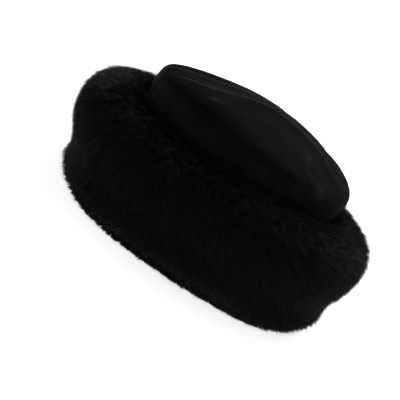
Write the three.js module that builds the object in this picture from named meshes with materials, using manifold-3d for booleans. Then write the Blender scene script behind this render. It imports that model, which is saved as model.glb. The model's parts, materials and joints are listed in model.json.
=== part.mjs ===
// A fur hat: a deep fur band round a soft cloth crown that is sewn from two panels and a strip between them.
// Millimetres, +Z up. The hat stands on its hem, its front faces -Y and its right side in a front view is +X.
import * as THREE from "three";
import { mergeVertices } from "three/addons/utils/BufferGeometryUtils.js";
import Module from "manifold-3d";

const wasm = await Module();
wasm.setup();

// The head opening is an oval, and most sizes are measured outwards from it.
const HEAD_HALF_WIDTH = 84;
const HEAD_HALF_LENGTH = 96;
const CLOTH = 2;
const GAP = 0.3;

// The cloth wall of the crown runs down inside the fur and ends above the fur's turned-in lip.
const WALL_FOOT = 10;
const LIP_HEIGHT = 5;

const FUR_STEPS = 120;
const FUR_STATIONS = 25;
const CLOTH_STEPS = 50;

// The outer face of the fur band from the ring that the hat stands on, over its ridge, to where it tucks in
// against the crown: heights, and the outward distance from the head oval on each side of the hat.
const FUR_FACE = [
  { at: "foot", up: 0, right: 28, back: 22, left: 25, front: 20 },
  { at: "heel", up: 8, right: 38, back: 32, left: 33.5, front: 31 },
  { at: "lobe", up: 20, right: 41, back: 38, left: 37, front: 38 },
  { at: "waist", up: 33, right: 41.5, back: 41, left: 38, front: 41 },
  { at: "belly", up: 59, right: 50, back: 49, left: 49, front: 49 },
  { at: "shoulder", up: 80, right: 45, back: 45, left: 45, front: 44 },
  { at: "brow", up: 91, right: 28, back: 30, left: 30, front: 27 },
  { at: "ridge", up: 94, right: 13, back: 13, left: 13, front: 13 },
  { at: "tuck", up: 91, right: 5.5, back: 5.5, left: 5.5, front: 5.5 },
];
const FOOT_IN = 10;
const TUCK_FOOT = 74;
const SAG = 1;

// The fur lies in locks that overlap downwards like shingles. Lengths are counted in rows of locks, and the
// shares of the relief are at a lock's root and lost at its flanks.
const LOCK = {
  round: 24,
  rows: 5,
  length: 1.35,
  relief: 4.2,
  mean: 1.9,
  root: 0.45,
  flank: 0.75,
  tipCurve: 0.3,
  tipScatter: 0.12,
  rowScatter: 0.25,
};

// Inside the shoulder's edge the crown is a shallow dome, and its rings are shares of the way out to that edge.
const EDGE_OUT = -6;
const EDGE_UP = 117;
const DOME_RISE = 18.5;
const DOME_RINGS = [0.94, 0.87, 0.79, 0.7, 0.59, 0.46, 0.28, 0];

// A strip of cloth runs over the crown from side to side, with a panel sewn to each of its long edges. Between
// its two turns the strip swings from the front to the back, as the crown is pulled a little askew.
const STRIP_WIDTH = 30;
const STRIP_MIDDLE = -6;
const STRIP_SWING = 10;
const STRIP_TURN = 58;
const CUT_REACH = 200;

// The crown's cloth wall, from its foot to the shoulder's edge: outward distance of the outer face, and height.
const CROWN_WALL = [
  { out: 2, up: WALL_FOOT },
  { out: 2, up: 42 },
  { out: 2, up: 73 },
  { out: 3.2, up: 84.5 },
  { out: 6, up: 93.5 },
  { out: 8.2, up: 101.5 },
  { out: 7.6, up: 108 },
  { out: 4, up: 113 },
  { out: -1, up: 115.7 },
  { out: EDGE_OUT, up: EDGE_UP },
];
const SOFT_FROM = 88;
const SOFT_TO = 112;

// How far the crown's soft shoulder stands above or below its mean line, evenly round the hat from its right.
const SHOULDER_LIFTS = [1, 3, 1.5, 1.2, 2.5, -1, 0.5, 2];

// Folds of the crown's cloth in plan: each is a ridge, or a dent where its height is negative.
const FOLDS = [
  { at: "left front crease", fromX: -76, fromY: -33, toX: -26, toY: -29, height: 1, width: 8 },
  { at: "middle crest", fromX: -22, fromY: -27, toX: 40, toY: -14, height: 2.6, width: 10 },
  { at: "left dent", fromX: -70, fromY: -16, toX: -14, toY: -12, height: -3.2, width: 9 },
  { at: "left back crease", fromX: -76, fromY: 6, toX: -30, toY: 2, height: 1.4, width: 8 },
  { at: "right seam dent", fromX: 56, fromY: -14, toX: 84, toY: -16, height: -1.8, width: 10 },
  { at: "right valley", fromX: 46, fromY: 4, toX: 80, toY: 4, height: -1.4, width: 9 },
  { at: "left shoulder pinch", fromX: -47, fromY: -64, toX: -34, toY: -54, height: 2, width: 7 },
  { at: "right crest", fromX: 14, fromY: 24, toX: 60, toY: 26, height: 2.4, width: 20 },
  { at: "right wrinkle", fromX: 42, fromY: -36, toX: 52, toY: -68, height: 2.4, width: 7 },
  { at: "right dent", fromX: 58, fromY: -26, toX: 68, toY: -50, height: -2.2, width: 9 },
  { at: "right back dent", fromX: 36, fromY: 60, toX: 76, toY: 20, height: -2.2, width: 9 },
  { at: "back dimple", fromX: -30, fromY: 66, toX: 8, toY: 60, height: -2.4, width: 12 },
];

// Where a fold is already raised at its ends, as a share of half a wave.
const FOLD_START = 0.15;
const CLOTH_UNEVENNESS = 0.5;

const FULL_TURN = 2 * Math.PI;

/** A steady number from -1 to 1 for a pair of whole numbers. */
function scatter(a, b) {
  const s = Math.sin(a * 127.1 + b * 311.7) * 43758.5453;
  return 2 * (s - Math.floor(s)) - 1;
}

/** The point a given distance outside the head oval and a given height up, at an angle round it. */
function aroundHead(angle, out, up) {
  const x = HEAD_HALF_WIDTH * Math.cos(angle);
  const y = HEAD_HALF_LENGTH * Math.sin(angle);
  const normal = new THREE.Vector2(x / HEAD_HALF_WIDTH ** 2, y / HEAD_HALF_LENGTH ** 2).normalize();
  return new THREE.Vector3(x + out * normal.x, y + out * normal.y, up);
}

/** A value at an angle, eased between values that are spaced evenly round the hat from +X. */
function roundHat(values, angle) {
  const turn = ((angle / FULL_TURN) * values.length) % values.length;
  const here = Math.floor(turn);
  const ease = (1 - Math.cos((turn - here) * Math.PI)) / 2;
  return THREE.MathUtils.lerp(values[here], values[(here + 1) % values.length], ease);
}

/** A closed body of revolution whose stations are then placed one by one round the oval. */
function spin(stationCount, steps, place) {
  const outline = Array.from({ length: stationCount + 1 }, (_, j) => new THREE.Vector2(1, j));
  const geometry = new THREE.LatheGeometry(outline, steps);
  const position = geometry.getAttribute("position");
  for (let i = 0; i <= steps; i += 1) {
    const stations = place(((i % steps) / steps) * FULL_TURN);
    for (let j = 0; j <= stationCount; j += 1) {
      const p = stations[j % stations.length];
      position.setXYZ(i * (stationCount + 1) + j, p.x, p.y, p.z);
    }
  }
  geometry.computeVertexNormals();
  return geometry;
}

/** Height of the cloth's folds and soft unevenness at a place in plan. */
function clothRelief(x, y) {
  const here = new THREE.Vector2(x, y);
  let sum = CLOTH_UNEVENNESS * Math.sin(0.07 * x + 0.05 * y + 1) * Math.sin(0.06 * y - 0.02 * x);
  for (const fold of FOLDS) {
    const from = new THREE.Vector2(fold.fromX, fold.fromY);
    const along = new THREE.Vector2(fold.toX, fold.toY).sub(from);
    const t = THREE.MathUtils.clamp(here.clone().sub(from).dot(along) / along.lengthSq(), 0, 1);
    const away = here.distanceTo(from.addScaledVector(along, t));
    const body = Math.sin(Math.PI * THREE.MathUtils.lerp(FOLD_START, 1 - FOLD_START, t));
    sum += fold.height * body * Math.exp(-((away / fold.width) ** 2));
  }
  return sum;
}

/** How far the locks stand out at a place on the fur: turn and row both count locks. */
function lockRelief(turn, row) {
  let highest = 0;
  for (const line of [Math.floor(row) - 1, Math.floor(row)]) {
    const shifted = turn + (line % 2) / 2 + LOCK.rowScatter * scatter(line, 7);
    const column = Math.floor(shifted) % LOCK.round;
    const sideways = 2 * (shifted - Math.floor(shifted)) - 1;
    const down = (row - line) / LOCK.length;
    const tip = 1 - LOCK.tipCurve * sideways ** 2 + LOCK.tipScatter * scatter(column, line);
    const height = THREE.MathUtils.lerp(LOCK.root, 1, down / tip) * (1 - LOCK.flank * sideways ** 2);
    highest = Math.max(highest, down < tip ? height : 0);
  }
  return LOCK.relief * highest - LOCK.mean;
}

/** The fur's outer face at one angle, with its locks and soft sags, which fade out at its foot and its tuck. */
function furFace(angle) {
  const line = FUR_FACE.map(({ up, right, back, left, front }) => {
    return new THREE.Vector2(roundHat([right, back, left, front], angle), up);
  });
  const curve = new THREE.SplineCurve(line);
  return Array.from({ length: FUR_STATIONS }, (_, j) => {
    const share = j / (FUR_STATIONS - 1);
    const p = curve.getPointAt(share);
    const tangent = curve.getTangentAt(share);
    const held = Math.min(1, 5 * share, 6 * (1 - share));
    const lock = lockRelief((angle / FULL_TURN) * LOCK.round, (1 - share) * LOCK.rows);
    const sag = SAG * Math.sin(3 * angle + 5 * share) * Math.sin(2 * angle - 4 * share + 1);
    p.addScaledVector(new THREE.Vector2(tangent.y, -tangent.x), held * (lock + sag));
    return aroundHead(angle, p.x, Math.max(p.y, 0));
  });
}

/** The fur band: a soft ring with a flat foot, an outer face in locks and a plain inner face. */
function furBand() {
  const innerFace = [
    { out: CLOTH + GAP, up: TUCK_FOOT },
    { out: CLOTH + GAP, up: WALL_FOOT - GAP },
    { out: 0, up: WALL_FOOT - GAP },
    { out: 0, up: LIP_HEIGHT },
    { out: FOOT_IN, up: 0 },
  ];
  return spin(FUR_STATIONS + innerFace.length, FUR_STEPS, (angle) => {
    return [...furFace(angle), ...innerFace.map(({ out, up }) => aroundHead(angle, out, up))];
  });
}

/** A second face one cloth thickness inside a run of points that goes up the wall and over its shoulder. */
function lining(face) {
  return face.map((p, j) => {
    const atSeam = j === face.length - 1;
    const along = atSeam ? new THREE.Vector2(-1, 0) : face[j + 1].clone().sub(face[Math.max(j - 1, 0)]);
    along.normalize();
    return new THREE.Vector2(p.x - CLOTH * along.y, p.y + CLOTH * along.x);
  });
}

/** The whole crown in one closed cloth body: its wall, its uneven shoulder and its dome, with their folds. */
function crownShell() {
  const face = CROWN_WALL.map(({ out, up }) => new THREE.Vector2(out, up));
  const inside = lining(face).reverse();
  return spin(2 * (face.length + DOME_RINGS.length), CLOTH_STEPS, (angle) => {
    const lift = roundHat(SHOULDER_LIFTS, angle);
    const stand = ({ x: out, y: up }) => {
      const p = aroundHead(angle, out, up);
      p.z += THREE.MathUtils.smoothstep(up, SOFT_FROM, SOFT_TO) * (lift + clothRelief(p.x, p.y));
      return p;
    };
    const edge = aroundHead(angle, EDGE_OUT, 0);
    const upper = DOME_RINGS.map((ring) => {
      const p = edge.clone().multiplyScalar(ring);
      p.z = EDGE_UP + DOME_RISE * (1 - ring ** 2) + lift * ring ** 4 + clothRelief(p.x, p.y);
      return p;
    });
    const lower = upper.map(({ x, y, z }) => new THREE.Vector3(x, y, z - CLOTH)).reverse();
    return [...face.map(stand), ...upper, ...lower, ...inside.map(stand)];
  });
}

/** How far the middle of the crown's strip lies behind the middle of the hat, at a place across. */
function stripDrift(x) {
  const turn = THREE.MathUtils.clamp(x / STRIP_TURN, -1, 1);
  return STRIP_MIDDLE + STRIP_SWING * Math.sin((turn * Math.PI) / 2);
}

/** Pulls a geometry straight along the strip's drift (share -1), or puts it back askew (share 1). */
function pullAskew(geometry, share) {
  const position = geometry.getAttribute("position");
  for (let i = 0; i < position.count; i += 1) {
    position.setY(i, position.getY(i) + share * stripDrift(position.getX(i)));
  }
  return geometry;
}

/** A geometry as a solid that can be cut. */
function toSolid(geometry) {
  const bare = new THREE.BufferGeometry();
  bare.setAttribute("position", geometry.getAttribute("position").clone());
  bare.setIndex(geometry.getIndex().clone());
  const merged = mergeVertices(bare, 1e-4);
  const index = merged.getIndex().array;
  const corners = [];
  for (let i = 0; i < index.length; i += 3) {
    const [a, b, c] = index.slice(i, i + 3);
    if (a !== b && b !== c && c !== a) corners.push(a, b, c);
  }
  const vertProperties = Float32Array.from(merged.getAttribute("position").array);
  const triVerts = Uint32Array.from(corners);
  return new wasm.Manifold(new wasm.Mesh({ numProp: 3, vertProperties, triVerts }));
}

/** A solid as a geometry. */
function toGeometry(solid) {
  const { vertProperties, triVerts } = solid.getMesh();
  const geometry = new THREE.BufferGeometry();
  geometry.setAttribute("position", new THREE.BufferAttribute(vertProperties, 3));
  geometry.setIndex(new THREE.BufferAttribute(triVerts, 1));
  geometry.computeVertexNormals();
  return geometry;
}

/** The part of the crown's cloth between two lines along the strip, which are given from its middle backwards. */
function crownPanel(cloth, from, to) {
  const block = new THREE.BoxGeometry(2 * CUT_REACH, to - from, 2 * CUT_REACH);
  block.translate(0, (from + to) / 2, 0);
  return pullAskew(toGeometry(cloth.intersect(toSolid(block))), 1);
}

const FUR = new THREE.MeshStandardMaterial({ color: 0x0b0b0c, roughness: 0.9, metalness: 0 });
const VELVET = new THREE.MeshStandardMaterial({ color: 0x141416, roughness: 0.75, metalness: 0 });

/** Adds a named mesh to a group. */
function addPiece(group, name, geometry, material) {
  const mesh = new THREE.Mesh(geometry, material);
  mesh.name = name;
  group.add(mesh);
}

const seam = STRIP_WIDTH / 2;
const cloth = toSolid(pullAskew(crownShell(), -1));
const pieces = new THREE.Group();
addPiece(pieces, "fur_band", furBand(), FUR);
addPiece(pieces, "crown_front_panel", crownPanel(cloth, -CUT_REACH, -seam - GAP / 2), VELVET);
addPiece(pieces, "crown_strip", crownPanel(cloth, GAP / 2 - seam, seam - GAP / 2), VELVET);
addPiece(pieces, "crown_back_panel", crownPanel(cloth, seam + GAP / 2, CUT_REACH), VELVET);

// The origin is the middle of the footprint, on the surface that the hem rests on.
const middle = new THREE.Box3().setFromObject(pieces).getCenter(new THREE.Vector3());
pieces.position.set(-middle.x, -middle.y, 0);

const hat = new THREE.Group();
hat.add(pieces);
export default hat;
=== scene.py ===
"""A black fur hat: a deep pile band round a soft velvet crown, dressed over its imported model.

Lengths are metres in the model's own frame, +Z up, with the front facing -Y. The pile is grown over a padded
backing, and the crown is sewn from a front panel, a back panel and the strip that runs between them.
"""

import json
import logging
import math
from dataclasses import dataclass, field
from enum import Enum
from typing import ClassVar

import bmesh
import bpy
import numpy as np
from mathutils import Matrix, Vector, kdtree, noise

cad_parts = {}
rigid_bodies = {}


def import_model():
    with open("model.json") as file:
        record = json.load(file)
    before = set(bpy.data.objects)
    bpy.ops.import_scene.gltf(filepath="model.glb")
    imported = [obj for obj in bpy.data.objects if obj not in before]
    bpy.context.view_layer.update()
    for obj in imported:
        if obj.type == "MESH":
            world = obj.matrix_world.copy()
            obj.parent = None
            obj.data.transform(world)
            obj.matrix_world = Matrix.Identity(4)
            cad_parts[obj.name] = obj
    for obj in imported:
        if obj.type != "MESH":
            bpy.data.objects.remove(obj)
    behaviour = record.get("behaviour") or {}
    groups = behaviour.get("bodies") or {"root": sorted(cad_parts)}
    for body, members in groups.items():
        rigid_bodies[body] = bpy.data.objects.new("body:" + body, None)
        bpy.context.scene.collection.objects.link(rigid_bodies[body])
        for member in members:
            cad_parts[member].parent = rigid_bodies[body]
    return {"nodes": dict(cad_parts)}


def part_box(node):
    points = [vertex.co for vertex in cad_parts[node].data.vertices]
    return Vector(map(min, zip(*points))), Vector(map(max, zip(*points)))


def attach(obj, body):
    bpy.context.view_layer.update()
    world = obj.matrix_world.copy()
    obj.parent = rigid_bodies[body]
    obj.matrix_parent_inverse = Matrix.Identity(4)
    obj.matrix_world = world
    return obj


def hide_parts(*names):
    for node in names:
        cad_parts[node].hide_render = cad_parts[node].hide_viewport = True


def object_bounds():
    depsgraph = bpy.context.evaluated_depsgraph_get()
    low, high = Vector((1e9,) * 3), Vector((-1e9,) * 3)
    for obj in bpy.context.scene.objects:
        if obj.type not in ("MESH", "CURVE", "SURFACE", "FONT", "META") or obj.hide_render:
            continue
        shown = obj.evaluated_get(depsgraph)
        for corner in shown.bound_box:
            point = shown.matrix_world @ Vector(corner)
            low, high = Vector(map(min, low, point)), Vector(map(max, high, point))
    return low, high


for leftover in list(bpy.data.objects):
    bpy.data.objects.remove(leftover)
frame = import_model()
CAD_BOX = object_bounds()

LOG = logging.getLogger("fur_hat")
BODY = "root"
FULL_TURN = 2 * math.pi
MM = 0.001

Array = np.ndarray
Seams = tuple[tuple[int, float], ...]


class Slot(Enum):
    """The record's material slots."""

    FUR = "fur"
    VELVET = "velvet"


class Term:
    """A shader socket that can be written in sums and products."""

    def __init__(self, tree: bpy.types.NodeTree, socket: bpy.types.NodeSocket) -> None:
        """Keeps the socket and the tree it belongs to."""
        self.tree = tree
        self.socket = socket

    def _math(self, operation: str, first: "Term | float", second: "Term | float") -> "Term":
        """Adds one Math node.

        Args:
            operation: The Math node's operation.
            first: The first value or term.
            second: The second value or term.

        Returns:
            The node's result.
        """
        node = self.tree.nodes.new("ShaderNodeMath")
        node.operation = operation
        for socket, value in zip(node.inputs, (first, second)):
            if isinstance(value, Term):
                self.tree.links.new(value.socket, socket)
            else:
                socket.default_value = value
        return Term(self.tree, node.outputs[0])

    def __add__(self, other: "Term | float") -> "Term":
        """The sum with another term or number."""
        return self._math("ADD", self, other)

    def __radd__(self, other: float) -> "Term":
        """The sum with a number on the left."""
        return self._math("ADD", other, self)

    def __sub__(self, other: "Term | float") -> "Term":
        """The difference to another term or number."""
        return self._math("SUBTRACT", self, other)

    def __rsub__(self, other: float) -> "Term":
        """A number less this term."""
        return self._math("SUBTRACT", other, self)

    def __mul__(self, other: "Term | float") -> "Term":
        """The product with another term or number."""
        return self._math("MULTIPLY", self, other)

    def __rmul__(self, other: float) -> "Term":
        """The product with a number on the left."""
        return self._math("MULTIPLY", other, self)


class Cloth:
    """A material's node tree, with one method that adds any node."""

    def __init__(self, name: str) -> None:
        """Starts a material with an empty node tree and its output."""
        self.material = bpy.data.materials.new(name)
        self.material.use_nodes = True
        self.tree = self.material.node_tree
        self.tree.nodes.clear()
        self.output = self.tree.nodes.new("ShaderNodeOutputMaterial")

    def add(self, kind: str, settings: dict | None = None, inputs: dict | None = None) -> bpy.types.Node:
        """Adds a node.

        Args:
            kind: The node's type name.
            settings: Properties to set first.
            inputs: Values, or terms and sockets to link, by the name of the input.

        Returns:
            The new node.
        """
        node = self.tree.nodes.new(kind)
        for key, value in (settings or {}).items():
            setattr(node, key, value)
        for key, value in (inputs or {}).items():
            source = value.socket if isinstance(value, Term) else value
            if isinstance(source, bpy.types.NodeSocket):
                self.tree.links.new(source, node.inputs[key])
            else:
                node.inputs[key].default_value = value
        return node

    def term(self, node: bpy.types.Node, output: str) -> Term:
        """A node's named output as a term."""
        return Term(self.tree, node.outputs[output])

    def attribute(self, name: str) -> Term:
        """A mesh's own attribute as a term."""
        return self.term(self.add("ShaderNodeAttribute", {"attribute_name": name}), "Fac")

    def speckle(self, scale: float, detail: float, rough: float) -> Term:
        """Noise from 0 to 1 over the piece.

        Args:
            scale: Waves in each metre.
            detail: How many finer waves are added.
            rough: How strong the finer waves are.

        Returns:
            The noise's value.
        """
        place = self.add("ShaderNodeTexCoord").outputs["Object"]
        inputs = {"Vector": place, "Scale": scale, "Detail": detail, "Roughness": rough}
        return self.term(self.add("ShaderNodeTexNoise", None, inputs), "Fac")

    def ramp(self, tone: Term, places: tuple[float, float], colours: tuple) -> bpy.types.NodeSocket:
        """Runs from one colour to another.

        Args:
            tone: The value that the colour runs with.
            places: The values at which the two colours stand.
            colours: The two colours.

        Returns:
            The colour's socket.
        """
        node = self.add("ShaderNodeValToRGB", None, {"Fac": tone})
        ends = (node.color_ramp.elements[0], node.color_ramp.elements[-1])
        for element, place, colour in zip(ends, places, colours):
            element.position = place
            element.color = colour
        return node.outputs["Color"]

    def blend(self, share: Term, first: bpy.types.NodeSocket, second: tuple) -> bpy.types.NodeSocket:
        """Mixes a colour towards another one.

        Args:
            share: How much of the second colour is in the mix, from 0 to 1.
            first: The first colour's socket.
            second: The second colour.

        Returns:
            The mixed colour's socket.
        """
        node = self.add("ShaderNodeMix", {"data_type": "RGBA", "clamp_factor": True})
        self.tree.links.new(share.socket, node.inputs[0])
        self.tree.links.new(first, node.inputs[6])
        node.inputs[7].default_value = second
        return node.outputs[2]

    def surface(self, inputs: dict) -> bpy.types.Material:
        """Adds the material's one shader with these inputs and returns the material."""
        shader = self.add("ShaderNodeBsdfPrincipled", None, inputs)
        self.tree.links.new(shader.outputs["BSDF"], self.output.inputs["Surface"])
        return self.material


@dataclass(frozen=True)
class VelvetFinish:
    """Black velvet: a short dense nap, with painted highlights along its seams and folds, painted light over
    its shaded foot, and painted shade on its shoulders.
    """

    name: str = "crown_velvet"
    dark: tuple[float, float, float, float] = (0.0042, 0.0042, 0.0044, 1)
    light: tuple[float, float, float, float] = (0.0096, 0.0096, 0.0099, 1)
    # Painted shade: the near-black laid over shoulder patches that the lamps leave too bright.
    painted_shade: tuple[float, float, float, float] = (0.0017, 0.0017, 0.0018, 1)
    # Painted light: the grey laid as highlights on seam lips, folds and the strip, and over the shaded foot
    # and wall.
    painted_light: tuple[float, float, float, float] = (0.042, 0.042, 0.043, 1)
    nap_scale: float = 1900.0
    nap_depth: float = 0.25 * MM
    crush_scale: float = 70.0
    crush_share: float = 0.7
    crush_relief: float = 0.8
    relief: float = 0.5
    # How unevenly the painted light is laid, from the crushed nap's low to its high.
    painted_light_spread: tuple[float, float] = (0.55, 0.9)
    tones: tuple[float, float] = (0.35, 0.68)
    rough: float = 0.52
    rough_drift: float = 0.22
    sheen: float = 0.011
    sheen_rough: float = 0.35
    gloss: float = 0.0018

    def material(self) -> bpy.types.Material:
        """Makes the material, which reads its painted light and painted shade from the cloth's attributes.

        Returns:
            Velvet whose tone and roughness drift with the crushed nap, under its painted light and painted
            shade.
        """
        cloth = Cloth(self.name)
        # Painted highlights and painted fill light, read from the cloth.
        painted_light = cloth.attribute("painted_light_share")
        crush = cloth.speckle(self.crush_scale, 4, 0.6)
        nap = cloth.speckle(self.nap_scale, 2, 0.5)
        tone = crush * self.crush_share + nap * (1 - self.crush_share)
        brushed = cloth.ramp(tone, self.tones, (self.dark, self.light))
        # Painted shade over those shoulder patches.
        smooth = cloth.blend(cloth.attribute("painted_shade_share"), brushed, self.painted_shade)
        # The painted light is laid unevenly, with the crushed nap.
        painted_light_unevenness = self.painted_light_spread[0] + crush * self.painted_light_spread[1]
        colour = cloth.blend(painted_light * painted_light_unevenness, smooth, self.painted_light)
        height = nap + crush * self.crush_relief
        bump_inputs = {"Height": height, "Strength": self.relief, "Distance": self.nap_depth}
        bump = cloth.add("ShaderNodeBump", None, bump_inputs)
        inputs = {
            "Base Color": colour,
            "Roughness": self.rough + crush * self.rough_drift,
            "Specular IOR Level": self.gloss,
            "Sheen Weight": self.sheen,
            "Sheen Roughness": self.sheen_rough,
            "Normal": bump.outputs["Normal"],
        }
        return cloth.surface(inputs)


@dataclass(frozen=True)
class PileFinish:
    """Black fur: evenly dark with roots made lighter as painted fill light, a little glossier towards the
    tips, and greyer where painted light is laid on the tips.
    """

    name: str = "fur_pile"
    # The roots are lighter than the tips: painted fill light that lifts the shade deep in the pile.
    root: tuple[float, float, float, float] = (0.0125, 0.0125, 0.0125, 1)
    tip: tuple[float, float, float, float] = (0.0095, 0.0095, 0.0099, 1)
    # Painted light: the grey laid on the tips at the rims, the hem, the crest and beside the crown.
    pile_painted_light: tuple[float, float, float, float] = (0.06, 0.06, 0.065, 1)
    tones: tuple[float, float] = (0.1, 0.95)
    tuft_share: float = 0.55
    pile_painted_light_at_root: float = 0.35
    rough: float = 0.58
    tip_polish: float = 0.16
    gloss: float = 0.045
    sheen: float = 0.02
    sheen_rough: float = 0.5

    def material(self) -> bpy.types.Material:
        """Makes the material from the hairs' own height, tone and painted light.

        Returns:
            The pile's material.
        """
        cloth = Cloth(self.name)
        height = cloth.attribute("hair_height")
        tone = height * ((1 - self.tuft_share) + cloth.attribute("tuft_tone") * self.tuft_share)
        # From the roots' painted fill light out to the darker tips.
        colour = cloth.ramp(tone, self.tones, (self.root, self.tip))
        # Painted light, strongest at the tips.
        pile_painted_light = cloth.attribute("pile_painted_light_share") * (self.pile_painted_light_at_root + height * (1 - self.pile_painted_light_at_root))
        inputs = {
            "Base Color": cloth.blend(pile_painted_light, colour, self.pile_painted_light),
            "Roughness": self.rough - height * self.tip_polish,
            "Specular IOR Level": self.gloss,
            "Sheen Weight": self.sheen,
            "Sheen Roughness": self.sheen_rough,
        }
        return cloth.surface(inputs)


@dataclass(frozen=True)
class BackingFinish:
    """The pelt that shows between the hairs: matt and nearly black, though lighter than the hairs as painted
    fill light against the shade under the pile.
    """

    name: str = "fur_pelt"
    # Lighter than the hairs: painted fill light that lifts the shade between them.
    dark: tuple[float, float, float, float] = (0.016, 0.016, 0.016, 1)
    light: tuple[float, float, float, float] = (0.024, 0.024, 0.024, 1)
    tones: tuple[float, float] = (0.3, 0.75)
    grain: float = 900.0
    grain_depth: float = 0.6 * MM

    def material(self) -> bpy.types.Material:
        """Makes the material.

        Returns:
            A rough, short underfur.
        """
        cloth = Cloth(self.name)
        grain = cloth.speckle(self.grain, 3, 0.6)
        colour = cloth.ramp(grain, self.tones, (self.dark, self.light))
        bump = cloth.add("ShaderNodeBump", None, {"Height": grain, "Distance": self.grain_depth})
        inputs = {
            "Base Color": colour,
            "Roughness": 0.95,
            "Specular IOR Level": 0.1,
            "Normal": bump.outputs["Normal"],
        }
        return cloth.surface(inputs)


@dataclass(frozen=True)
class FloorFinish:
    """A plain pale studio floor, lit from within so that it stays white."""

    name: str = "studio_floor"
    glow: float = 0.85
    colour: tuple[float, float, float, float] = (0.6, 0.6, 0.6, 1)

    def material(self) -> bpy.types.Material:
        """Makes the floor's material."""
        cloth = Cloth(self.name)
        inputs = {
            "Base Color": self.colour,
            "Roughness": 0.9,
            "Specular IOR Level": 0.0,
            "Emission Color": (1, 1, 1, 1),
            "Emission Strength": self.glow,
        }
        return cloth.surface(inputs)


def finish_piece(piece: bpy.types.Object, material: bpy.types.Material) -> None:
    """Dresses a piece and lets it ride on the hat.

    Args:
        piece: The object to dress.
        material: Its material.
    """
    piece.data.materials.clear()
    piece.data.materials.append(material)
    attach(piece, BODY)
    LOG.info("%s: %d faces", piece.name, len(piece.data.polygons))


def new_piece(name: str, mesh: bpy.types.Mesh) -> bpy.types.Object:
    """Adds an object at the origin.

    Args:
        name: Its name.
        mesh: Its mesh.

    Returns:
        The object.
    """
    piece = bpy.data.objects.new(name, mesh)
    bpy.context.scene.collection.objects.link(piece)
    return piece


def rows_of(items: bpy.types.bpy_prop_collection, name: str, kind: type = np.float32) -> Array:
    """Reads a property of three numbers from each item.

    Args:
        items: A mesh's vertices, normals or triangles.
        name: The property.
        kind: The type that its numbers are stored in.

    Returns:
        A row for each item.
    """
    flat = np.empty(3 * len(items), dtype=kind)
    items.foreach_get(name, flat)
    return flat.reshape(-1, 3)


def unit(rows: Array) -> Array:
    """Each row scaled to a length of one."""
    return rows / np.maximum(np.linalg.norm(rows, axis=1, keepdims=True), 1e-12)


def smoothstep(low: float, high: float, value: Array) -> Array:
    """An eased share from 0 at low to 1 at high."""
    share = np.clip((value - low) / (high - low), 0, 1)
    return share * share * (3 - 2 * share)


def ripples(x: Array, y: Array, z: Array | float) -> Array:
    """Smooth noise, from about -1 to 1, at some places."""
    rows = np.stack(np.broadcast_arrays(x, y, z), axis=1)
    return np.array([noise.noise(Vector(row)) for row in rows])


@dataclass(frozen=True)
class HeadOval:
    """The oval of the head opening, which the sizes are measured outwards from."""

    centre: Vector
    half_width: float
    half_length: float
    wall_puff: ClassVar[float] = 8.2 * MM

    @classmethod
    def from_frame(cls, nodes: tuple[str, ...]) -> "HeadOval":
        """Reads the oval from the crown's packed walls, at the height where they stand straight.

        Args:
            nodes: The crown's nodes.

        Returns:
            The oval.
        """
        corners = [Vector(corner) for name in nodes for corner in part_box(name)]
        low = Vector(map(min, *corners))
        high = Vector(map(max, *corners))
        half = (high - low) / 2
        return cls((low + high) / 2, half.x - cls.wall_puff, half.y - cls.wall_puff)

    def outward(self, angle: Array) -> Array:
        """Unit normals of the oval at some angles, as rows of x and y."""
        rows = np.stack([np.cos(angle) / self.half_width, np.sin(angle) / self.half_length], axis=1)
        return unit(rows)

    def place(self, angle: Array, out: Array, up: Array) -> Array:
        """Points round the oval.

        Args:
            angle: Angles round the oval, from +X.
            out: Distances outside it.
            up: Heights.

        Returns:
            Rows of x, y and z.
        """
        normal = self.outward(angle)
        x = self.centre.x + self.half_width * np.cos(angle) + out * normal[:, 0]
        y = self.centre.y + self.half_length * np.sin(angle) + out * normal[:, 1]
        return np.stack([x, y, up], axis=1)

    def angle_of(self, points: Array) -> Array:
        """The oval's angle of each point."""
        x = (points[:, 0] - self.centre.x) / self.half_width
        y = (points[:, 1] - self.centre.y) / self.half_length
        return np.arctan2(y, x)

    def out_of(self, points: Array) -> Array:
        """How far outside the oval each point is, nearly enough for its small eccentricity."""
        x = points[:, 0] - self.centre.x
        y = points[:, 1] - self.centre.y
        share = np.sqrt((x / self.half_width) ** 2 + (y / self.half_length) ** 2)
        return np.hypot(x, y) * (1 - 1 / np.maximum(share, 1e-6))


@dataclass(frozen=True)
class Puff:
    """A place that stands out or is pressed in: its turn round the hat in degrees, the rest in one unit."""

    turn: float
    spread: float
    up: float
    reach: float
    amount: float

    def out(self, angle: Array, up: Array) -> Array:
        """How far it stands out here.

        Args:
            angle: Angles round the oval.
            up: Heights.

        Returns:
            Distances, negative where it is pressed in.
        """
        away = (np.degrees(angle) - self.turn + 180) % 360 - 180
        return self.amount * np.exp(-((away / self.spread) ** 2) - ((up - self.up) / self.reach) ** 2)


@dataclass(frozen=True)
class Fold:
    """One fold of the crown's cloth, or one stroke of painted shade over it, in plan and in millimetres."""

    start: tuple[float, float]
    end: tuple[float, float]
    height: float
    width: float
    end_share: ClassVar[float] = 0.12

    def relief(self, x: Array, y: Array) -> Array:
        """How far the fold lifts the cloth.

        Args:
            x: Places across, in millimetres.
            y: Places along, in millimetres.

        Returns:
            Lifts in millimetres.
        """
        along = np.subtract(self.end, self.start)
        share = ((x - self.start[0]) * along[0] + (y - self.start[1]) * along[1]) / along.dot(along)
        held = np.clip(share, 0, 1)
        away = np.hypot(x - self.start[0] - held * along[0], y - self.start[1] - held * along[1])
        body = np.sin(math.pi * (self.end_share + (1 - 2 * self.end_share) * held))
        return self.height * body * np.exp(-((away / self.width) ** 2))


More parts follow.
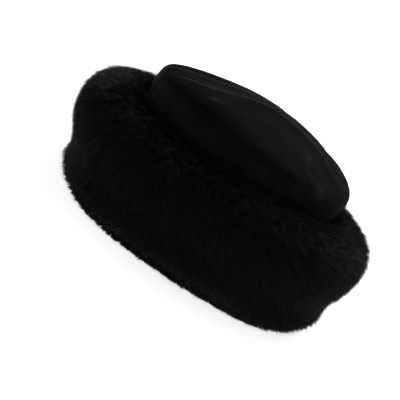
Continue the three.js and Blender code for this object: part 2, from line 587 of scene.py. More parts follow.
@dataclass(frozen=True)
class Panel:
    """One cut piece of the crown's cloth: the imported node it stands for, its seams and its flat size.

    A seam is the side of the cloth that it ends, -1 at its front or 1 at its back, and its place in
    millimetres behind the strip's middle.
    """

    node: str
    seams: Seams
    flat: tuple[float, float]
    area: float

    @property
    def name(self) -> str:
        """The name of the dressed piece."""
        return f"{self.node}_velvet"


@dataclass
class Crown:
    """The soft crown: two panels and the strip between them, cut from one shape and sewn along two seams."""

    oval: HeadOval
    cloth: float = 1.2 * MM
    edge_out: float = -6.0
    edge_up: float = 118.0
    dome_rise: float = 17.2
    dome_rings: int = 54
    steps: int = 288
    strip_width: float = 31.0
    strip_middle: float = -9.0
    strip_swing: float = 13.0
    strip_turn: float = 42.0
    strip_centre: float = -14.0
    seam_loops: tuple[float, ...] = (0.35, 0.8, 1.4, 2.3, 3.6)
    lip: float = 1.5
    lip_roll: float = 0.7
    pucker: float = 0.2
    seam_welt: float = 0.25
    # The painted highlight on each seam's lip: its width, and the weaker painted highlight beside each seam.
    lip_line: float = 0.6
    lip_painted_highlight: float = 0.12
    ripple: float = 0.5
    crease_depth: float = 0.45
    crumple: float = 0.12
    gather: float = 0.22
    pinch: float = 5.0
    smooth_at: float = 12.0
    # Strengths of the painted highlights on the lips, the strip and the sharp folds, and of the painted fill
    # light over the shaded foot and wall.
    front_lip_painted_highlight: float = 1.2
    back_lip_painted_highlight: float = 1.8
    strip_painted_sheen: float = 0.14
    fold_painted_highlight: float = 0.28
    foot_painted_light: float = 0.34
    wall_painted_light: float = 0.04
    wall: tuple[tuple[float, float], ...] = (
        (2.0, 10.0),
        (2.0, 42.0),
        (2.0, 73.0),
        (3.2, 84.5),
        (6.0, 93.5),
        (8.2, 101.5),
        (7.9, 107.4),
        (5.4, 112.3),
        (0.0, 115.8),
        (-6.0, 118.0),
    )
    lifts: tuple[float, ...] = (0.4, 3.0, 1.5, 1.2, 1.8, 1.5, 0.5, -1.0)
    puffs: tuple[Puff, ...] = (
        Puff(-125, 32, 109, 6, -6.5),
        Puff(-90, 30, 109, 6, -1.5),
        Puff(-38, 15, 107, 6, 1.6),
        Puff(180, 26, 103, 10, -1.2),
        Puff(0, 22, 103, 10, -1.0),
    )
    folds: tuple[Fold, ...] = (
        Fold((-60, -34), (-16, -24), -0.8, 9),
        Fold((-22, -27), (40, -14), 2.6, 10),
        Fold((-70, -16), (-14, -12), -3.2, 9),
        Fold((-76, 6), (-30, 2), 1.4, 8),
        Fold((56, -14), (84, -16), -1.4, 10),
        Fold((14, 24), (60, 26), 1.4, 20),
        Fold((-80, -9), (-60, -7), -1.2, 6),
        Fold((-44, -66.5), (-36, -63), 1.2, 3.8),
        Fold((41.5, -42), (47.5, -67), 1.2, 2.6),
        Fold((49, -67), (55, -71), 0.7, 2.4),
        Fold((61, -73), (71, -68), 1.1, 4.6),
        Fold((-80, -14), (-70, -9), 1.5, 3.4),
        Fold((-87, -19), (-81, -15), 2.0, 2.6),
        Fold((78, 14), (85, 16), 1.5, 3.0),
        Fold((58, -26), (68, -50), -1.0, 9),
        Fold((36, 60), (76, 20), -2.2, 9),
        Fold((-30, 66), (8, 60), -2.4, 12),
    )
    # Strokes of painted shade, where the lamps leave the shoulders and the strip's right end too bright.
    painted_shade: tuple[Fold, ...] = (
        Fold((-86, -12), (-70, -50), 0.6, 12),
        Fold((-70, -46), (-42, -72), 0.8, 12),
        Fold((-46, -76), (-6, -88), 0.75, 10),
        Fold((-12, -92), (46, -87), 0.5, 8),
        Fold((44, 4), (92, 4), 0.6, 14),
        Fold((52, -26), (76, -40), 0.5, 18),
    )

    def lift(self, angle: Array) -> Array:
        """The shoulder's rise and fall round the crown, in millimetres."""
        turn = (angle / FULL_TURN * len(self.lifts)) % len(self.lifts)
        here = np.floor(turn).astype(int)
        ease = (1 - np.cos((turn - here) * math.pi)) / 2
        table = np.array(self.lifts)
        return table[here % len(table)] * (1 - ease) + table[(here + 1) % len(table)] * ease

    def drift(self, x: Array) -> Array:
        """How far the strip's middle lies behind the hat's middle, in millimetres, at places across."""
        turn = np.clip((x - self.strip_centre) / self.strip_turn, -1, 1) * math.pi / 2
        return self.strip_middle + self.strip_swing * np.sin(turn)

    def relief(self, x: Array, y: Array) -> Array:
        """Folds, dents and fine creases of the cloth at places in plan, all in millimetres."""
        total = sum(fold.relief(x, y) for fold in self.folds)
        total = total + self.ripple * np.sin(0.07 * x + 0.05 * y + 1) * np.sin(0.06 * y - 0.02 * x)
        creases = ripples(x * 0.05, y * 0.05, 4.2)
        fine = ripples(x * 0.15, y * 0.12, 9.1)
        return total - self.crease_depth * np.abs(creases) + self.crumple * fine

    def gathers(self, angle: Array) -> Array:
        """The small gathers round the crown's foot, in and out of its wall, in millimetres."""
        small = np.sin(23 * angle + 2 * np.sin(5 * angle))
        smaller = np.sin(41 * angle + 3 * np.sin(3 * angle))
        return self.gather * (small + 0.6 * smaller)

    def rings(self) -> list[tuple[float, float, float]]:
        """The crown's rings from its foot to its middle, on a smooth curve through the wall's stations.

        Returns:
            For each ring the distance outside the oval, the height, and the share of the way out to it.
        """
        table = [Vector(station) for station in self.wall]
        table.append(Vector((2 * self.edge_out, self.edge_up + 0.12 * self.dome_rise)))
        line: list[tuple[float, float, float]] = []
        for j in range(len(self.wall) - 1):
            before, a, b, after = (table[max(k, 0)] for k in (j - 1, j, j + 1, j + 2))
            step = 1.4 if a.y > 80 else 6.0
            cuts = max(2, round((b - a).length / step))
            for k in range(cuts):
                t = k / cuts
                bend = 2 * a + (b - before) * t + (2 * before - 5 * a + 4 * b - after) * t**2
                bend += (3 * a - before - 3 * b + after) * t**3
                line.append((bend.x / 2, bend.y / 2, 1.0))
        for k in range(self.dome_rings + 1):
            share = 1 - k / self.dome_rings
            line.append((self.edge_out, self.edge_up + self.dome_rise * (1 - share**2), share))
        return line

    def shell(self) -> bmesh.types.BMesh:
        """The whole crown as one sheet of cloth, in millimetres about the oval's middle.

        Returns:
            The sheet, which starts as a flat disc and is then stood up ring by ring.
        """
        rings = self.rings()
        bm = bmesh.new()
        chain = [bm.verts.new((len(rings) - 1 - j, 0, 0)) for j in range(len(rings))]
        edges = [bm.edges.new(pair) for pair in zip(chain, chain[1:])]
        bmesh.ops.spin(
            bm,
            geom=chain + edges,
            cent=(0, 0, 0),
            axis=(0, 0, 1),
            angle=FULL_TURN,
            steps=self.steps,
            use_merge=True,
        )
        bmesh.ops.remove_doubles(bm, verts=bm.verts, dist=1e-4)
        flat = np.array([v.co[:] for v in bm.verts])
        ring = len(rings) - 1 - np.rint(np.hypot(flat[:, 0], flat[:, 1])).astype(int)
        angle = np.arctan2(flat[:, 1], flat[:, 0])
        out, up, share = np.array(rings)[ring].T
        out = out + sum(puff.out(angle, up) for puff in self.puffs) * share**6
        spot = self.oval.place(angle, out * MM, up * MM) / MM
        x = (spot[:, 0] - self.oval.centre.x / MM) * share
        y = (spot[:, 1] - self.oval.centre.y / MM) * share
        soft = smoothstep(88, 112, up)
        sway = self.gathers(angle) * smoothstep(80, 92, up) * (1 - smoothstep(100, 112, up))
        normal = self.oval.outward(angle)
        z = up + soft * (self.lift(angle) * share**4 + self.relief(x, y))
        for v, place in zip(bm.verts, zip(x + sway * normal[:, 0], y + sway * normal[:, 1], z)):
            v.co = place
        bmesh.ops.recalc_face_normals(bm, faces=bm.faces)
        bm.normal_update()
        top = max(bm.verts, key=lambda v: v.co.z)
        if top.normal.z < 0:
            bmesh.ops.reverse_faces(bm, faces=bm.faces)
        return bm

    def pull_askew(self, bm: bmesh.types.BMesh, share: float) -> None:
        """Straightens the strip's drift (share -1) or puts it back (share 1)."""
        drift = self.drift(np.array([v.co.x for v in bm.verts]))
        for v, back in zip(bm.verts, drift):
            v.co.y += share * back

    def cut(self, bm: bmesh.types.BMesh, seams: Seams) -> None:
        """Cuts a straightened sheet at its seams and adds loops along them.

        Args:
            bm: The sheet.
            seams: Its seams.
        """
        for side, seam in seams:
            for inset in (0.0, *self.seam_loops):
                bmesh.ops.bisect_plane(
                    bm,
                    geom=[*bm.verts, *bm.edges, *bm.faces],
                    dist=0.02,
                    plane_co=(0, seam - side * inset, 0),
                    plane_no=(0, side, 0),
                    clear_outer=inset == 0,
                )

    def roll_lips(self, bm: bmesh.types.BMesh, seams: Seams) -> None:
        """Rounds the cloth down into its seams, with small puckers beside them.

        Args:
            bm: The cut sheet, still straight.
            seams: Its seams.
        """
        bm.normal_update()
        places = np.array([v.co[:] for v in bm.verts])
        normals = np.array([v.normal[:] for v in bm.verts])
        move = np.zeros(len(places))
        for _, seam in seams:
            away = np.abs(places[:, 1] - seam)
            inside = np.clip(1 - away / self.lip, 0, 1)
            move -= self.lip * self.lip_roll * (1 - np.sqrt(1 - inside**2))
            move += self.pucker * self.puckers(places, seam) * np.exp(-away / 5)
            move += self.seam_welt * np.exp(-(((away - 5) / 4) ** 2))
        ends = smoothstep(-86, -68, places[:, 0]) * (1 - smoothstep(72, 84, places[:, 0]))
        moved = places + normals * (move * (0.3 + 0.7 * ends))[:, None]
        for v, place in zip(bm.verts, moved):
            v.co = place

    def puckers(self, places: Array, seam: float) -> Array:
        """The rise and fall of the cloth beside a seam, from about -1.5 to 1.5."""
        along = places[:, 0] + 0.6 * places[:, 2]
        uneven = np.sin(0.11 * along + seam) + np.sin(0.17 * along)
        return np.sin(1.15 * along + 1.6 * uneven) + 0.5 * np.sin(0.66 * along + 2 * uneven)

    def painted_light_mask(self, places: Array, seams: Seams) -> Array:
        """How much painted light lies on the cloth: painted highlights along the seams' lips, over the strip
        and on sharp folds, and painted fill light over the shaded foot and wall.

        Args:
            places: The cut sheet's vertices, still straight.
            seams: Its seams.

        Returns:
            Shares, which pass 1 on a bright lip.
        """
        x, y, z = places.T
        painted_light = np.zeros(len(places))
        # Painted highlights along each seam's lip, and weaker ones beside it.
        for _, seam in seams:
            away = np.abs(y - seam)
            edge = np.exp(-(((away - self.lip * self.lip_roll) / self.lip_line) ** 2))
            nap = self.front_lip_painted_highlight if seam < 0 else self.back_lip_painted_highlight
            painted_light += nap * edge * (1 + 0.35 * self.puckers(places, seam))
            painted_light += self.lip_painted_highlight * np.exp(-away / 4)
        # The painted light is uneven along the cloth.
        painted_light_unevenness = ripples(x * 0.06, y * 0.02, 7.7)
        middle = smoothstep(10, 38, np.abs(x - self.smooth_at))
        painted_light *= (0.5 + 0.5 * middle) * np.clip(1.0 + 0.7 * painted_light_unevenness, 0.4, 1.4)
        # Painted sheen over the strip's middle.
        if len(seams) == 2:
            painted_light += self.strip_painted_sheen * (1 - smoothstep(40, 62, np.abs(x)))
        painted_light *= smoothstep(100, 116, z)
        painted_light *= smoothstep(-84, -67, x) * (1 - smoothstep(72, 91, x))
        lie = y + self.drift(x)
        shoulder = smoothstep(101, 109, z)
        # Painted highlights on the sharp folds.
        for fold in self.folds:
            if fold.width < self.pinch:
                painted_light += self.fold_painted_highlight * fold.relief(x, lie) * shoulder
        # Painted fill light that lifts the shade at the crown's foot and on its wall.
        painted_light += self.foot_painted_light * (1 - smoothstep(92, 102, z))
        painted_light += self.wall_painted_light * (1 - smoothstep(104, 112, z))
        return painted_light

    def painted_shade_mask(self, places: Array) -> Array:
        """How much painted shade the strokes lay on the shoulder, at places on the straight sheet."""
        lie = places[:, 1] + self.drift(places[:, 0])
        painted_shade = sum(stroke.relief(places[:, 0], lie) for stroke in self.painted_shade)
        return painted_shade * smoothstep(107, 113, places[:, 2])

    def paint_light_and_shade(self, bm: bmesh.types.BMesh, seams: Seams) -> None:
        """Notes on the cloth where its painted light lies and where its painted shade lies.

        Args:
            bm: The cut sheet, still straight.
            seams: Its seams.
        """
        places = np.array([v.co[:] for v in bm.verts])
        naps = {"painted_light_share": self.painted_light_mask(places, seams), "painted_shade_share": self.painted_shade_mask(places)}
        for name, values in naps.items():
            layer = bm.verts.layers.float.new(name)
            for v, value in zip(bm.verts, values):
                v[layer] = value

    def thicken(self, bm: bmesh.types.BMesh) -> None:
        """Gives the sheet the cloth's thickness, with its cut edges closed.

        Args:
            bm: The sheet, whose faces look outwards.
        """
        bm.normal_update()
        outer = list(bm.verts)
        loops = [edge.link_loops[0] for edge in bm.edges if edge.is_boundary]
        rim = [(loop.vert, loop.link_loop_next.vert) for loop in loops]
        made = bmesh.ops.duplicate(bm, geom=[*bm.verts, *bm.edges, *bm.faces])
        copies = [f for f in made["geom"] if isinstance(f, bmesh.types.BMFace)]
        bmesh.ops.reverse_faces(bm, faces=copies)
        inner = {v: made["vert_map"][v] for v in outer}
        for v in outer:
            inner[v].co -= v.normal * (self.cloth / MM)
        for a, b in rim:
            bm.faces.new((b, a, inner[a], inner[b]))

    def sew(self, shell: bmesh.types.BMesh, panel: Panel, material: bpy.types.Material) -> bpy.types.Object:
        """Cuts one panel from the crown's shape and finishes it.

        Args:
            shell: The whole crown's sheet.
            panel: Which panel.
            material: Its velvet.

        Returns:
            The finished piece.
        """
        bm = shell.copy()
        self.pull_askew(bm, -1)
        self.cut(bm, panel.seams)
        self.paint_light_and_shade(bm, panel.seams)
        self.roll_lips(bm, panel.seams)
        self.pull_askew(bm, 1)
        self.thicken(bm)
        middle = Vector((self.oval.centre.x, self.oval.centre.y, 0)) / MM
        bmesh.ops.translate(bm, verts=bm.verts, vec=middle)
        bmesh.ops.scale(bm, verts=bm.verts, vec=(MM, MM, MM))
        bm.normal_update()
        mesh = bpy.data.meshes.new(panel.name)
        bm.to_mesh(mesh)
        bm.free()
        mesh.shade_smooth()
        piece = new_piece(panel.name, mesh)
        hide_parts(panel.node)
        finish_piece(piece, material)
        return piece

    def build(self, material: bpy.types.Material) -> None:
        """Cuts and sews the two panels and the strip.

        Args:
            material: Their velvet.
        """
        seam = self.strip_width / 2
        panels = (
            Panel("crown_front_panel", ((1, -seam),), (0.32, 0.2), 0.045),
            Panel("crown_strip", ((-1, -seam), (1, seam)), (0.42, 0.036), 0.0148),
            Panel("crown_back_panel", ((-1, seam),), (0.32, 0.2), 0.045),
        )
        shell = self.shell()
        for panel in panels:
            self.sew(shell, panel, material)
        shell.free()


@dataclass
class Pile:
    """Arrays that describe every hair: a row for each, in the order of its tuft."""

    root: Array
    middle: Array
    tip: Array
    side: Array
    tuft: Array
    tone: Array
    pile_painted_light: Array


@dataclass
class FurBand:
    """The deep fur band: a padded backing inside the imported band's surface, and the pile that grows on it.

    Each hair is a blade of five points: two at its root, two at its bend and its tip. Its faces are a quad
    and a triangle, whose corners the loops give in turn, and its cell is its place in its tuft's square
    of the map.
    """

    oval: HeadOval
    depth: float = 7.0 * MM
    tufts: int = 20500
    hairs: int = 12
    locks: int = 2200
    gather: float = 0.08
    spread: float = 2.0 * MM
    lean: float = 0.8
    reach: float = 1.2
    splay: float = 0.8
    slant: float = 0.5
    swirl: float = 0.7
    swirl_scale: float = 22.0
    swell: float = 0.16
    swell_scale: float = 55.0
    width: float = 0.38 * MM
    floor: float = 0.3 * MM
    jitter: float = 0.55 * MM
    twist: float = 1.1
    shortest: float = 2.2 * MM
    bare_depth: float = 1.2 * MM
    inner_facing: float = -0.75
    inner_top: float = 0.085
    fill: float = 0.7
    seed: int = 11
    # Painted light on the tips: at the sides, weaker on the right, on the hem, beside the crown and on the
    # crest.
    side_painted_light: float = 0.36
    right_share: float = 0.2
    hem_painted_light: float = 0.24
    tuck_painted_light: float = 0.4
    crest_painted_light: float = 0.12
    grooming: tuple[Puff, ...] = (
        Puff(0, 30, 16 * MM, 15 * MM, -2.6 * MM),
        Puff(180, 34, 16 * MM, 16 * MM, -5.5 * MM),
        Puff(0, 30, 98 * MM, 11 * MM, -5.5 * MM),
        Puff(180, 30, 84 * MM, 12 * MM, 1.0 * MM),
        Puff(-125, 26, 2 * MM, 7 * MM, 2.6 * MM),
        Puff(-46, 18, 3 * MM, 9 * MM, 2.6 * MM),
    )
    chunks: tuple[str, ...] = ("fur_pile_front", "fur_pile_right", "fur_pile_back", "fur_pile_left")
    blade_loops: tuple[int, ...] = (0, 1, 3, 2, 2, 3, 4)
    blade_faces: tuple[int, ...] = (0, 4)
    blade_heights: tuple[float, ...] = (0.0, 0.0, 0.55, 0.55, 1.0)
    blade_cell: tuple[tuple[float, float], ...] = (
        (0.2, 0.1),
        (0.8, 0.1),
        (0.25, 0.5),
        (0.75, 0.5),
        (0.5, 0.9),
    )
    _rng: np.random.Generator = field(init=False)

    def __post_init__(self) -> None:
        """Starts the seeded random draws."""
        self._rng = np.random.default_rng(self.seed)

    def depth_at(self, points: Array) -> Array:
        """How deep the pile is over each place of the band.

        Args:
            points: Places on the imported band's surface.

        Returns:
            Depths: full outside, short at the tuck, on the turned-in lip and none on the hidden inner face.
        """
        out = self.oval.out_of(points)
        up = points[:, 2]
        upper = smoothstep(2.5 * MM, 11 * MM, out)
        lip = smoothstep(-1 * MM, 14 * MM, out)
        low = 1 - smoothstep(6 * MM, 24 * MM, up)
        share = upper * (1 - low) + lip * low
        return self.depth * share * (1 - 0.75 * low)

    def backing(self, material: bpy.types.Material) -> bpy.types.Object:
        """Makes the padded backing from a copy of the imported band.

        Args:
            material: The pelt's material.

        Returns:
            The finished piece.
        """
        source = frame["nodes"]["fur_band"]
        bm = bmesh.new()
        bm.from_mesh(source.data)
        bmesh.ops.remove_doubles(bm, verts=bm.verts, dist=1e-5)
        outer = [v for v in bm.verts if v.normal.xy.dot(v.co.xy) > 0 or v.co.z > self.inner_top]
        for _ in range(3):
            bmesh.ops.smooth_vert(
                bm, verts=outer, factor=0.5, use_axis_x=True, use_axis_y=True, use_axis_z=True
            )
        bmesh.ops.subdivide_edges(bm, edges=bm.edges, cuts=1, smooth=0.4, use_grid_fill=True)
        bm.normal_update()
        mesh = bpy.data.meshes.new("fur_backing")
        bm.to_mesh(mesh)
        points = rows_of(mesh.vertices, "co").astype(np.float64)
        normals = np.array([v.normal[:] for v in bm.verts])
        bm.free()
        angle = self.oval.angle_of(points)
        fluff = sum(place.out(angle, points[:, 2]) for place in self.grooming)
        furry = smoothstep(0, 10 * MM, self.oval.out_of(points))
        sunk = points + normals * (fluff * furry - self.depth_at(points))[:, None]
        sunk[:, 2] = np.maximum(sunk[:, 2], self.floor)
        mesh.vertices.foreach_set("co", sunk.astype(np.float32).ravel())
        mesh.shade_smooth()
        piece = new_piece("fur_backing", mesh)
        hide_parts("fur_band")
        finish_piece(piece, material)
        return piece

    def scatter(self, backing: bpy.types.Object) -> tuple[Array, Array]:
        """Draws the tufts' roots evenly over the backing's furry faces.

        Args:
            backing: The backing.

        Returns:
            Roots and unit normals.
        """
        mesh = backing.data
        mesh.calc_loop_triangles()
        corners = rows_of(mesh.loop_triangles, "vertices", np.int32)
        points = rows_of(mesh.vertices, "co").astype(np.float64)
        normals = rows_of(mesh.vertex_normals, "vector").astype(np.float64)
        a, b, c = (points[corners[:, k]] for k in range(3))
        cross = np.cross(b - a, c - a)
        area = np.linalg.norm(cross, axis=1) / 2
        middle = (a + b + c) / 3
        furry = self.depth_at(middle) > self.bare_depth
        inner = (unit(cross)[:, :2] * unit(middle[:, :2])).sum(axis=1) < self.inner_facing
        weight = np.where(furry & ~inner, area, 0)
        total = np.cumsum(weight)
        draws = (np.arange(self.tufts) + self._rng.random(self.tufts)) / self.tufts * total[-1]
        chosen = np.minimum(np.searchsorted(total, draws), len(total) - 1)
        share = self._rng.random((self.tufts, 2))
        folded = share.sum(axis=1) > 1
        share[folded] = 1 - share[folded]
        w = np.stack([1 - share.sum(axis=1), share[:, 0], share[:, 1]], axis=1)
        tri = corners[chosen]
        root = sum(points[tri[:, k]] * w[:, k : k + 1] for k in range(3))
        normal = unit(sum(normals[tri[:, k]] * w[:, k : k + 1] for k in range(3)))
        return root, normal

    def lock_pull(self, tips: Array, normal: Array) -> Array:
        """How far each tuft's tip is drawn towards the middle of its lock.

        Args:
            tips: The tufts' tips.
            normal: The backing's normals under them.

        Returns:
            Offsets in the plane of the pile.
        """
        middles = tips[self._rng.choice(len(tips), self.locks, replace=False)]
        tree = kdtree.KDTree(len(middles))
        for index, middle in enumerate(middles):
            tree.insert(middle, index)
        tree.balance()
        nearest = np.array([tree.find(tip)[1] for tip in tips])
        pull = middles[nearest] - tips
        pull -= normal * (pull * normal).sum(axis=1, keepdims=True)
        return pull

    def comb(self, root: Array, normal: Array) -> Pile:
        """Combs the tufts down and to one side and lays out their hairs.

        Args:
            root: The tufts' roots.
            normal: The backing's normals there.

        Returns:
            The pile.
        """
        rng = self._rng
        count = len(root)
        surface = root + normal * self.depth
        depth = np.maximum(self.depth_at(surface), self.shortest)
        angle = self.oval.angle_of(root)
        outward = np.concatenate([self.oval.outward(angle), np.zeros((count, 1))], axis=1)
        around = np.stack([-outward[:, 1], outward[:, 0], np.zeros(count)], axis=1)
        down = unit(np.cross(around, normal))
        swirl = ripples(*(root * self.swirl_scale).T)
        tilt = self.slant + self.swirl * swirl + 0.22 * rng.standard_normal(count)
        nap = down * np.cos(tilt)[:, None] + around * np.sin(tilt)[:, None]
        splay = self.splay * (1 - smoothstep(3 * MM, 22 * MM, root[:, 2]))[:, None]
        nap = unit(nap * (1 - splay) + outward * splay)
        near_crown = 1 - smoothstep(6 * MM, 18 * MM, self.oval.out_of(root))
        upper = smoothstep(60 * MM, 80 * MM, root[:, 2])
        lean = self.lean * (1 + 0.2 * upper) * (1 - 0.65 * near_crown * upper)
        lean = lean * (1 + 0.18 * rng.standard_normal(count))
        swell = self.swell * ripples(*(root * self.swell_scale + (3, 7, 1)).T)
        height = depth * (self.reach - 0.1 * upper + swell) + 0.5 * MM * rng.standard_normal(count)
        tip = root + normal * height[:, None] + nap * (lean * depth)[:, None]
        tip += self.gather * self.lock_pull(tip, normal)
        pile = self.hairs_of(root, normal, tip, nap, lean * depth, height)
        # Painted light on each hair's tip.
        pile.pile_painted_light = self.per_hair(self.pile_painted_light_at(root, near_crown * upper))
        return pile

    def pile_painted_light_at(self, root: Array, tuck: Array) -> Array:
        """How much painted light greys the tips: more at the left, on the hem and the crest, and beside the
        crown.

        Args:
            root: The tufts' roots.
            tuck: How near the crown's tuck each one is, from 0 to 1.

        Returns:
            Shares.
        """
        side = smoothstep(0.8, 1.0, np.abs(np.cos(self.oval.angle_of(root))))
        side *= np.where(root[:, 0] > 0, self.right_share, 1.0)
        hem = 1 - smoothstep(2 * MM, 34 * MM, root[:, 2])
        drift = ripples(*(root * 30 + (9, 2, 4)).T)
        crest = smoothstep(74 * MM, 86 * MM, root[:, 2])
        share = self.side_painted_light * side + self.hem_painted_light * hem
        share += (self.tuck_painted_light + 0.2 * side) * tuck
        share += self.crest_painted_light * crest * (1 - 0.7 * side)
        return np.clip(share * (1 + 0.7 * drift), 0, 1)

    def per_hair(self, rows: Array) -> Array:
        """The tufts' rows, each repeated for all of its hairs."""
        return np.repeat(rows, self.hairs, axis=0)

    def hairs_of(
        self, root: Array, normal: Array, tip: Array, nap: Array, reach: Array, height: Array
    ) -> Pile:
        """Lays out each tuft's hairs.

        Args:
            root: The tufts' roots.
            normal: The normals there.
            tip: The tufts' tips.
            nap: The way the pile lies.
            reach: How far it leans.
            height: How far it stands up.

        Returns:
            The pile.
        """
        rng = self._rng
        total = len(root) * self.hairs
        out = self.per_hair(normal)
        lie = self.per_hair(nap)
        across = np.cross(out, lie)
        ring = self.spread * np.sqrt(rng.random(total)) * 1.25
        turn = FULL_TURN * rng.random(total)
        offset = lie * (ring * np.cos(turn))[:, None] + across * (ring * np.sin(turn))[:, None]
        clump = self.per_hair(0.15 + 0.2 * rng.random(len(root)))
        hair_root = self.per_hair(root) + offset
        jitter = rng.standard_normal((total, 3)) * self.jitter
        stretch = np.clip(1 + 0.13 * rng.standard_normal(total), 0.6, 1.5)
        hair_tip = self.per_hair(tip) + offset * (1 - clump)[:, None] + jitter
        hair_tip = hair_root + (hair_tip - hair_root) * stretch[:, None]
        middle = hair_root + out * (self.per_hair(height) * 0.6 * stretch)[:, None]
        middle += lie * (self.per_hair(reach) * 0.3)[:, None] - offset * (0.35 * clump)[:, None]
        for rows in (hair_root, middle, hair_tip):
            rows[:, 2] = np.maximum(rows[:, 2], self.floor)
        axis = unit(hair_tip - hair_root)
        flat = unit(np.cross(axis, out) + 1e-9)
        twist = rng.uniform(-self.twist, self.twist, total)
        side = flat * np.cos(twist)[:, None] + np.cross(flat, axis) * np.sin(twist)[:, None]
        tuft = self.per_hair(np.arange(len(root)))
        tone = 0.25 + self.per_hair(rng.random(len(root))) * 0.5 + 0.25 * rng.random(total)
        return Pile(hair_root, middle, hair_tip, side, tuft, tone, np.zeros(total))

    def chunk(self, name: str, pile: Pile, rows: Array) -> bpy.types.Object:
        """Joins some hairs into one mesh of thin tapering blades.

        Args:
            name: The piece's name.
            pile: All the hairs.
            rows: Which hairs go in.

        Returns:
            The object.
        """
        count = len(rows)
        root, middle, tip = pile.root[rows], pile.middle[rows], pile.tip[rows]
        side = pile.side[rows] * (self.width / 2)
        points = np.stack([root - side, root + side, middle - 0.75 * side, middle + 0.75 * side, tip], axis=1)
        hair = np.arange(count)[:, None]
        blade = len(self.blade_heights) * hair + np.array(self.blade_loops)
        starts = len(self.blade_loops) * hair + np.array(self.blade_faces)
        mesh = bpy.data.meshes.new(name)
        mesh.vertices.add(points.size // 3)
        mesh.vertices.foreach_set("co", points.astype(np.float32).ravel())
        mesh.loops.add(blade.size)
        mesh.loops.foreach_set("vertex_index", blade.astype(np.int32).ravel())
        mesh.polygons.add(starts.size)
        mesh.polygons.foreach_set("loop_start", starts.astype(np.int32).ravel())
        mesh.update(calc_edges=True)
        mesh.shade_smooth()
        self.label(mesh, pile, rows)
        return new_piece(name, mesh)

    def label(self, mesh: bpy.types.Mesh, pile: Pile, rows: Array) -> None:
        """Gives the blades their height, tone, painted light and a map with a cell for each tuft.

        Args:
            mesh: The blades.
            pile: All the hairs.
            rows: Which hairs are in the mesh.
        """
        height = np.tile(self.blade_heights, len(rows))
        tone = np.repeat(pile.tone[rows], len(self.blade_heights))
        # Painted light, carried on each blade.
        pile_painted_light = np.repeat(pile.pile_painted_light[rows], len(self.blade_heights))
        for name, values in (("hair_height", height), ("tuft_tone", tone), ("pile_painted_light_share", pile_painted_light)):
            layer = mesh.attributes.new(name, "FLOAT", "POINT")
            layer.data.foreach_set("value", values.astype(np.float32))
        tuft = np.unique(pile.tuft[rows], return_inverse=True)[1]
        grid = math.ceil(math.sqrt(tuft.max() + 1))
        cell = np.stack([tuft % grid, tuft // grid], axis=1)[:, None, :]
        spots = np.array(self.blade_cell)[list(self.blade_loops)]
        layer = mesh.uv_layers.new(name="OFBake")
        layer.uv.foreach_set("vector", ((cell + spots) / grid).astype(np.float32).ravel())

    def build(self, pelt: bpy.types.Material, hair: bpy.types.Material) -> None:
        """Makes the backing and grows the pile on it.

        Args:
            pelt: The backing's material.
            hair: The pile's material.
        """
        backing = self.backing(pelt)
        root, normal = self.scatter(backing)
        pile = self.comb(root, normal)
        quarter = (self.oval.angle_of(pile.root) + math.pi * 0.75) % FULL_TURN
        order = np.argsort(quarter, kind="stable")
        for name, rows in zip(self.chunks, np.array_split(order, len(self.chunks))):
            piece = self.chunk(name, pile, np.sort(rows))
            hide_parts("fur_band")
            finish_piece(piece, hair)


@dataclass(frozen=True)
class Softbox:
    """A soft square lamp: its name, its place, its side in metres and its power in watts."""

    name: str
    place: tuple[float, float, float]
    side: float
    power: float


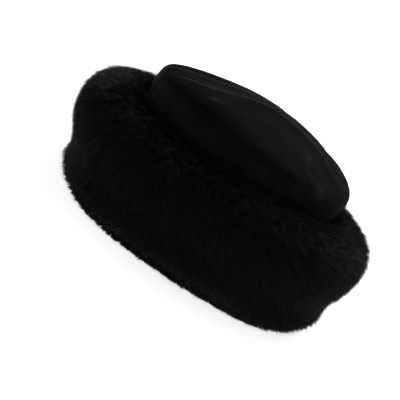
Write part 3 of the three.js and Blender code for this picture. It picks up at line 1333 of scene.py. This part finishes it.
@dataclass
class Studio:
    """The plain white studio: floor, soft lights, and the camera at the photograph's angle."""

    elevation: float = math.radians(10.5)
    roll: float = math.radians(34.6)
    distance: float = 1.4
    pixel: float = 0.8 * MM
    picture: int = 400
    sensor: float = 36.0
    hat_pixel: tuple[float, float] = (227.1, 175.6)
    floor_size: float = 6.0
    lit_point: tuple[float, float, float] = (0.0, 0.0, 0.07)
    ambient: float = 0.43
    from_behind: float = 0.35
    from_above: float = 0.06
    from_left: float = 0.15
    lamps: tuple[Softbox, ...] = (
        Softbox("overhead_softbox", (0.25, 0.85, 1.1), 0.9, 13),
        Softbox("left_softbox", (-1.2, 0.95, 0.3), 0.6, 2.2),
        Softbox("right_softbox", (1.2, 0.95, 0.3), 0.6, 0.8),
    )

    def camera(self) -> None:
        """Stands the camera in front of the hat and rolls it, as the photograph is turned."""
        low, high = (Vector(corner) for corner in CAD_BOX)
        middle = (low + high) / 2
        forward = Vector((0, math.cos(self.elevation), -math.sin(self.elevation)))
        right = Vector((1, 0, 0))
        up = right.cross(forward)
        offset = Vector((self.picture / 2 - self.hat_pixel[0], self.hat_pixel[1] - self.picture / 2))
        level = Matrix.Rotation(self.roll, 2) @ offset
        aim = middle + (right * level.x + up * level.y) * self.pixel
        eye = middle - forward * self.distance
        data = bpy.data.cameras.new("photo_camera")
        data.sensor_width = self.sensor
        data.lens = self.sensor * self.distance / (self.pixel * self.picture)
        data.clip_end = 50
        camera = bpy.data.objects.new("photo_camera", data)
        look = (aim - eye).to_track_quat("-Z", "Y")
        spin = Matrix.Rotation(self.roll, 4, "Z")
        camera.matrix_world = Matrix.Translation(eye) @ look.to_matrix().to_4x4() @ spin
        bpy.context.scene.collection.objects.link(camera)
        bpy.context.scene.camera = camera

    def hang(self, lamp: Softbox) -> None:
        """Hangs a lamp so that it faces the hat."""
        data = bpy.data.lights.new(lamp.name, "AREA")
        data.size = lamp.side
        data.energy = lamp.power
        light = bpy.data.objects.new(lamp.name, data)
        light.location = lamp.place
        aim = Vector(self.lit_point) - Vector(lamp.place)
        light.rotation_euler = aim.to_track_quat("-Z", "Y").to_euler()
        bpy.context.scene.collection.objects.link(light)

    def surroundings(self) -> None:
        """A white backdrop to the camera, whose light is softer, and brightest behind the hat."""
        world = bpy.data.worlds.new("white_studio")
        world.use_nodes = True
        bpy.context.scene.world = world
        tree = world.node_tree
        tree.nodes.clear()
        place = tree.nodes.new("ShaderNodeTexCoord")
        split = tree.nodes.new("ShaderNodeSeparateXYZ")
        tree.links.new(place.outputs["Generated"], split.inputs[0])
        x, y, z = (Term(tree, split.outputs[axis]) for axis in "XYZ")
        light = y * self.from_behind + z * self.from_above + self.ambient - x * self.from_left
        seen = tree.nodes.new("ShaderNodeLightPath")
        plain = tree.nodes.new("ShaderNodeBackground")
        glow = tree.nodes.new("ShaderNodeBackground")
        mix = tree.nodes.new("ShaderNodeMixShader")
        output = tree.nodes.new("ShaderNodeOutputWorld")
        plain.inputs["Color"].default_value = (1, 1, 1, 1)
        tree.links.new(light.socket, glow.inputs["Strength"])
        tree.links.new(seen.outputs["Is Camera Ray"], mix.inputs[0])
        tree.links.new(glow.outputs[0], mix.inputs[1])
        tree.links.new(plain.outputs[0], mix.inputs[2])
        tree.links.new(mix.outputs[0], output.inputs["Surface"])

    def floor(self) -> None:
        """A plain pale floor."""
        bm = bmesh.new()
        bmesh.ops.create_grid(bm, x_segments=1, y_segments=1, size=self.floor_size)
        mesh = bpy.data.meshes.new("studio_floor")
        bm.to_mesh(mesh)
        bm.free()
        floor = new_piece("studio_floor", mesh)
        mesh.materials.append(FloorFinish().material())

    def build(self) -> None:
        """Sets the studio up."""
        self.camera()
        self.surroundings()
        self.floor()
        for lamp in self.lamps:
            self.hang(lamp)
        scene = bpy.context.scene
        scene.view_settings.view_transform = "Standard"
        scene.view_settings.look = "None"


def main() -> None:
    """Builds the hat and its studio."""
    logging.basicConfig(level=logging.INFO, format="%(name)s %(message)s")
    oval = HeadOval.from_frame(("crown_front_panel", "crown_strip", "crown_back_panel"))
    Crown(oval).build(VelvetFinish().material())
    FurBand(oval).build(BackingFinish().material(), PileFinish().material())
    Studio().build()


if __name__ == "__main__":
    main()
